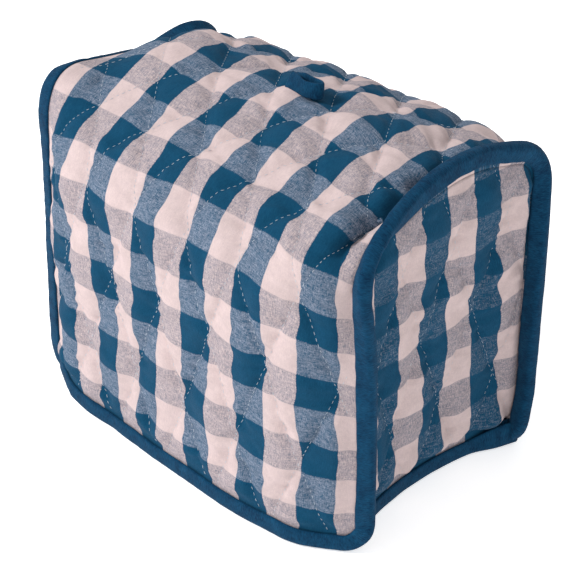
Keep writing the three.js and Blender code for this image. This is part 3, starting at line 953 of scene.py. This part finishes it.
def lay_stitches(routes, cloth, name, radius):
    """Dashes along routes: points just outside the cloth, each with the way inwards."""
    tree = ray_tree(cloth)
    bm = bmesh.new()
    bead = bpy.data.meshes.new("bead")
    bmesh.ops.create_uvsphere(bm, u_segments=6, v_segments=4, radius=1)
    bm.to_mesh(bead)
    bm.clear()
    made = 0
    for points, inward in routes:
        lengths = run_lengths(points)
        starts = np.arange(first_stitch, lengths[-1] - stitch_length, stitch_length + stitch_gap)
        for begin in starts:
            ends = []
            for place in (begin, begin + stitch_length):
                at = Vector(points_at(place, lengths, points)) * MM
                way = Vector(points_at(place, lengths, inward)).normalized()
                hit, normal, _, _ = tree.ray_cast(at, way, ray_reach)
                if hit is not None:
                    ends.append((hit, normal))
            if len(ends) < 2:
                continue
            (a, normal), (b, _) = ends
            if (b - a).length > 2 * stitch_length * MM:
                continue
            x_way = (b - a).normalized()
            y_way = normal.cross(x_way).normalized()
            basis = Matrix((x_way, y_way, x_way.cross(y_way))).transposed().to_4x4()
            size = Matrix.Diagonal(((b - a).length / 2, radius * MM, radius * MM, 1))
            spot = Matrix.Translation((a + b) / 2 + normal * stitch_lift * MM)
            stitch = bead.copy()
            stitch.transform(spot @ basis @ size)
            bm.from_mesh(stitch)
            bpy.data.meshes.remove(stitch)
            made += 1
    bpy.data.meshes.remove(bead)
    piece = finish_piece(bm, name)
    print(name, made, "stitches")
    return piece


def body_routes():
    """Both families of lines over the front half and the back half, between the bindings.

    There are more lines than the cloth holds. Those that miss it are left out.
    """
    routes = []
    hem = np.linspace(binding_width + hem_margin, cloth_span / 2, 200)
    for family in (-1, 1):
        for k in range(-8, 16):
            line = quilt_phase + k * quilt_pitch + family * quilt_run(hem)
            for v in (hem, cloth_span - hem):
                held = (line > seam_margin) & (line < cloth_length - seam_margin)
                if held.sum() < fewest_places:
                    continue
                facing = body_facing(line[held], v[held])
                routes.append((body_middle(line[held], v[held]) + facing * ray_start, -facing))
    return routes


body_stitches = lay_stitches(body_routes(), body_cloth, "body_stitches", body_thread)

# %% Lay the stitches of the end panels
end_stitch_top = 232
end_stitch_side = 98
outside_end = half_length + 16


def end_routes(side):
    """Both families of lines over an end panel, from a flat plane outside it."""
    routes = []
    z = np.linspace(binding_width + hem_margin, end_stitch_top, 150)
    for family in (-1, 1):
        for k in range(-6, 8):
            y = -quilt_pitch / 2 + k * quilt_pitch + family * quilt_lean * z
            held = np.abs(y) < end_stitch_side
            if held.sum() < fewest_places:
                continue
            x = np.full(held.sum(), side * outside_end)
            points = np.stack([x, y[held], z[held]], axis=1)
            inward = np.tile([-side, 0, 0], (held.sum(), 1))
            routes.append((points, inward))
    return routes


end_stitches_right = lay_stitches(end_routes(1), end_cloth_right, "end_stitches_right", end_thread)
end_stitches_left = lay_stitches(end_routes(-1), end_cloth_left, "end_stitches_left", end_thread)

# %% [markdown]
# ## Shader maths as Python
# A woven check is arithmetic on the cloth's own coordinates. A small class wraps a node's socket,
# so that sums and products of sockets read as they would on paper and each makes its Math node.

# %% A socket that takes part in sums


class Value:
    """A node's socket. Sums and products of values make the nodes that work them out."""

    def __init__(self, tree, socket):
        self.tree = tree
        self.socket = socket

    def node(self, kind, settings=None, sockets=None, output=0):
        """Makes any node: its settings first, then the values or links of its sockets."""
        made = self.tree.nodes.new(kind)
        for name, value in (settings or {}).items():
            setattr(made, name, value)
        for name, value in (sockets or {}).items():
            target = made.inputs[name]
            if isinstance(value, Value):
                self.tree.links.new(value.socket, target)
            else:
                target.default_value = value
        return Value(self.tree, made.outputs[output])

    def math(self, operation, *others):
        sockets = dict(enumerate((self, *others)))
        return self.node("ShaderNodeMath", {"operation": operation}, sockets)

    def __add__(self, other):
        return self.math("ADD", other)

    __radd__ = __add__

    def __mul__(self, other):
        return self.math("MULTIPLY", other)

    __rmul__ = __mul__

    def __sub__(self, other):
        return self.math("SUBTRACT", other)

    def sin(self):
        return self.math("SINE")

    def clamp(self):
        return self.node("ShaderNodeClamp", {}, {"Value": self})

    def mix(self, low, high):
        """low where this value is 0 and high where it is 1, as colours."""
        ends = {"Factor": self, 6: low, 7: high}
        return self.node("ShaderNodeMix", {"data_type": "RGBA"}, ends, output=2)

    def into(self, shader, name):
        self.tree.links.new(self.socket, shader.inputs[name])

    def streaks(self, scale, seed, detail=2, turn=0, roughness=0.6):
        """Noise around 0.5 at these coordinates, stretched along a thread's direction."""
        place = self.node("ShaderNodeMapping", {}, {
            "Vector": self, "Scale": scale, "Rotation": (0, 0, turn), "Location": (seed, seed, seed),
        })
        return self.node("ShaderNodeTexNoise", {}, {
            "Vector": place, "Scale": 1.0, "Detail": detail, "Roughness": roughness,
        })


def new_material(name, roughness, coordinates):
    """A material, its shader and its coordinates, which are UV or Object."""
    material = bpy.data.materials.new(name)
    material.use_nodes = True
    tree = material.node_tree
    shader = tree.nodes["Principled BSDF"]
    shader.inputs["Roughness"].default_value = roughness
    return material, shader, Value(tree, None).node("ShaderNodeTexCoord", output=coordinates)


def cotton(name, roughness):
    """A material with the dull, slightly fuzzy surface of cotton."""
    material, shader, uv = new_material(name, roughness, "UV")
    shader.inputs["Specular IOR Level"].default_value = 0.1
    shader.inputs["Sheen Weight"].default_value = 0.02
    shader.inputs["Sheen Roughness"].default_value = 0.5
    return material, shader, uv


print("socket maths ready")

# %% [markdown]
# ## Woven gingham
# Gingham has stripes of two colours in its warp and the same stripes in its weft. Where teal
# crosses teal the cell is dark, where pink crosses pink it is pale, and the two mixed cells differ,
# because the warp shows a little more than the weft. The end panels get a copy with painted shade:
# they stand in shade, so in their copy the weft shows less on teal stripes and more on pink ones,
# which makes both mixed cells darker. Slubs and uneven dyeing make the mixed cells heathered, in
# streaks along the threads. All of it follows the piece's UV, so it turns with each fold.

# %% Gingham material


def linear(red, green, blue):
    """A colour given as on a screen, from 0 to 255, in the shader's linear values."""
    levels = []
    for level in (red / 255, green / 255, blue / 255):
        levels.append(((level + 0.055) / 1.055) ** 2.4 if level > 0.04 else level / 12.92)
    return (*levels, 1)


teal = linear(2, 55, 85)
teal_faded = linear(20, 78, 108)
pink = linear(217, 197, 193)
pink_shade = linear(190, 171, 174)
pink_over_teal = linear(188, 192, 208)
threads = 80.0
weave_angle = 2 * math.pi
warp_sharpness = 22
weft_sharpness = 16
warp_fray = 3
weft_fray = 4
tone_by_streak = 1.5
tone_by_thread = 1.2
share_by_streak = 0.75
share_by_thread = 0.6
mean_shade = 0.95
blotch_shade = 0.3


def gingham(name, share_on_teal, share_on_pink):
    """Gingham whose weft shows by the two given shares on teal and on pink stripes."""
    material, shader, uv = cotton(name, roughness=0.92)
    x = uv.node("ShaderNodeSeparateXYZ", {}, {0: uv}, output="X")
    y = uv.node("ShaderNodeSeparateXYZ", {}, {0: uv}, output="Y")

    warp_streaks = uv.streaks((80, 14, 1), seed=3.1)
    weft_streaks = uv.streaks((14, 80, 1), seed=7.7)
    fine_warp = uv.streaks((190, 48, 1), seed=5.2, detail=1)
    fine_weft = uv.streaks((48, 190, 1), seed=9.9, detail=1)
    blotches = uv.streaks((5, 5, 1), seed=1.4, detail=3)

    def stripes(place, sharpness, frayed, fray):
        """1 in one colour's stripes and 0 in the other's, with frayed edges."""
        wave = (place * weave_angle).sin() * sharpness
        return (wave + 0.5 + (frayed - 0.5) * fray).clamp()

    def tone(streak, thread):
        return (0.5 + (streak - 0.5) * tone_by_streak + (thread - 0.5) * tone_by_thread).clamp()

    warp_teal = stripes(x, warp_sharpness, weft_streaks, warp_fray)
    weft_teal = stripes(y, weft_sharpness, warp_streaks, weft_fray)
    warp_tone = tone(warp_streaks, fine_warp)
    weft_tone = tone(weft_streaks, fine_weft)
    warp_colour = warp_teal.mix(warp_tone.mix(pink_shade, pink), warp_tone.mix(teal, teal_faded))
    weft_pink = warp_teal.mix(weft_tone.mix(pink_shade, pink), pink_over_teal)
    weft_colour = weft_teal.mix(weft_pink, weft_tone.mix(teal, teal_faded))
    share = share_on_pink + warp_teal * (share_on_teal - share_on_pink)
    shows = share + (weft_streaks - warp_streaks) * share_by_streak
    shows = (shows + (fine_weft - fine_warp) * share_by_thread).clamp()
    cloth = shows.mix(warp_colour, weft_colour)
    shade = (mean_shade + (blotches - 0.5) * blotch_shade).clamp()
    shaded = uv.node("ShaderNodeMix", {"data_type": "RGBA", "blend_type": "MULTIPLY"}, {
        "Factor": 1.0, 6: cloth, 7: uv.node("ShaderNodeCombineColor", {}, {0: shade, 1: shade, 2: shade}),
    }, output=2)
    weave = (x * (threads * weave_angle)).sin() * (y * (threads * weave_angle)).sin()
    height = weave * 0.35 + fine_warp + fine_weft + (warp_streaks + weft_streaks) * 0.8
    bump = uv.node("ShaderNodeBump", {}, {"Strength": 0.35, "Distance": 0.0005, "Height": height})
    shaded.into(shader, "Base Color")
    bump.into(shader, "Normal")
    return material


body_gingham = gingham("gingham_cotton", share_on_teal=0.24, share_on_pink=0.36)
# Painted shade: the end panels stand in shade, so their copy shows less weft on teal stripes and more on
# pink ones, which darkens both mixed cells.
end_gingham_painted_shade = gingham("gingham_cotton_ends_painted_shade", share_on_teal=0.03, share_on_pink=0.46)
print("gingham: a repeat of", repeat, "mm")

# %% [markdown]
# ## Binding cotton
# The binding is one teal cotton, cut on the bias, so its threads run slantwise. It is heathered
# with paler fibres and dyed a little unevenly.

# %% Binding material
bias = math.radians(45)
fuzz = 0.65
binding_dark = linear(0, 34, 62)
binding_pale = linear(20, 80, 114)
fibre_contrast = 1.1
blotch_contrast = 0.9
mean_tone = 0.42


def binding_cotton():
    """Teal cotton cut on the bias, whose threads run slantwise to the strip."""
    material, shader, uv = cotton("binding_cotton", roughness=0.9)
    one = uv.streaks((26, 5, 1), seed=2.2, turn=bias, roughness=fuzz)
    other = uv.streaks((26, 5, 1), seed=6.6, turn=-bias, roughness=fuzz)
    blotches = uv.streaks((1.2, 1.2, 1), seed=4.1, detail=3, roughness=fuzz)
    tone = (one + other - 1) * fibre_contrast + (blotches - 0.5) * blotch_contrast + mean_tone
    colour = tone.clamp().mix(binding_dark, binding_pale)
    bump = uv.node("ShaderNodeBump", {}, {"Strength": 0.55, "Distance": 0.0009, "Height": one + other})
    colour.into(shader, "Base Color")
    bump.into(shader, "Normal")
    return material


binding_material = binding_cotton()

# %% Thread material
thread_shade = linear(160, 170, 182)
thread_white = linear(200, 206, 214)


def quilting_thread():
    material, shader, place = new_material("quilting_thread", roughness=0.75, coordinates="Object")
    fibres = place.node("ShaderNodeTexNoise", {}, {"Vector": place, "Scale": 2600.0, "Detail": 1.0})
    fibres.mix(thread_shade, thread_white).into(shader, "Base Color")
    return material


thread_material = quilting_thread()
print("materials:", len(bpy.data.materials))

# %% [markdown]
# ## Floor and light
# The cover stands on a plain, nearly white floor, which glows a little so that it stays white. One
# soft light from the front left and above, a weaker one from the right and a white world leave only
# faint shadows.

# %% Make the floor
bm = bmesh.new()
bmesh.ops.create_grid(bm, x_segments=1, y_segments=1, size=6)
floor = finish_piece(bm, "floor")
floor.location.z = -0.0004
floor_material, floor_shader, floor_place = new_material(
    "floor_paper", roughness=0.95, coordinates="Object",
)
floor_noise = floor_place.node("ShaderNodeTexNoise", {}, {
    "Vector": floor_place, "Scale": 3.0, "Detail": 2.0,
})
floor_colour = floor_noise.mix((0.93, 0.93, 0.93, 1), (0.96, 0.96, 0.96, 1))
floor_colour.into(floor_shader, "Base Color")
floor_shader.inputs["Specular IOR Level"].default_value = 0.0
floor_shader.inputs["Emission Color"].default_value = (1, 1, 1, 1)
floor_shader.inputs["Emission Strength"].default_value = 0.6
floor.data.materials.append(floor_material)

# %% Make the lights
light_aim = Vector((0, 0, 0.12))


def soft_light(name, place, size, power):
    """A round area light turned to the cover."""
    data = bpy.data.lights.new(name, "AREA")
    data.shape = "DISK"
    data.size = size
    data.energy = power
    light = bpy.data.objects.new(name, data)
    bpy.context.collection.objects.link(light)
    light.location = place
    light.rotation_mode = "QUATERNION"
    light.rotation_quaternion = (light_aim - light.location).to_track_quat("-Z", "Y")
    return light


key_light = soft_light("key_light", Vector((-1.5, -1.95, 2.6)), size=0.9, power=92)
fill_light = soft_light("fill_light", Vector((2.4, -0.6, 1.6)), size=2.0, power=4)
world = bpy.data.worlds.new("pale_world")
world.use_nodes = True
background = world.node_tree.nodes["Background"]
background.inputs["Color"].default_value = (1, 1, 1, 1)
background.inputs["Strength"].default_value = 0.6
bpy.context.scene.world = world
bpy.context.scene.view_settings.view_transform = "Standard"
print("lights:", key_light.name, fill_light.name)

# %% [markdown]
# ## Dress the frame
# Each cloth piece takes the place of its plain solid and rides on the one body.

# %% Give each piece its material and its solid
dressed = [
    (body_cloth, body_gingham, "quilted_gingham", "body_panel"),
    (end_cloth_right, end_gingham_painted_shade, "quilted_gingham", "end_panel_right"),
    (end_cloth_left, end_gingham_painted_shade, "quilted_gingham", "end_panel_left"),
    (edge_binding_cloth, binding_material, "bias_binding", "edge_binding"),
    (hem_cloth_right, binding_material, "bias_binding", "end_hem_binding_right"),
    (hem_cloth_left, binding_material, "bias_binding", "end_hem_binding_left"),
    (loop_cloth, binding_material, "bias_binding", "top_loop"),
    (body_stitches, thread_material, "quilted_gingham", None),
    (end_stitches_right, thread_material, "quilted_gingham", None),
    (end_stitches_left, thread_material, "quilted_gingham", None),
]
for piece, material, slot_name, node in dressed:
    piece.data.materials.append(material)
    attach(piece, "root")
    if node:
        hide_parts(node)
print(len(dressed), "pieces dressed")
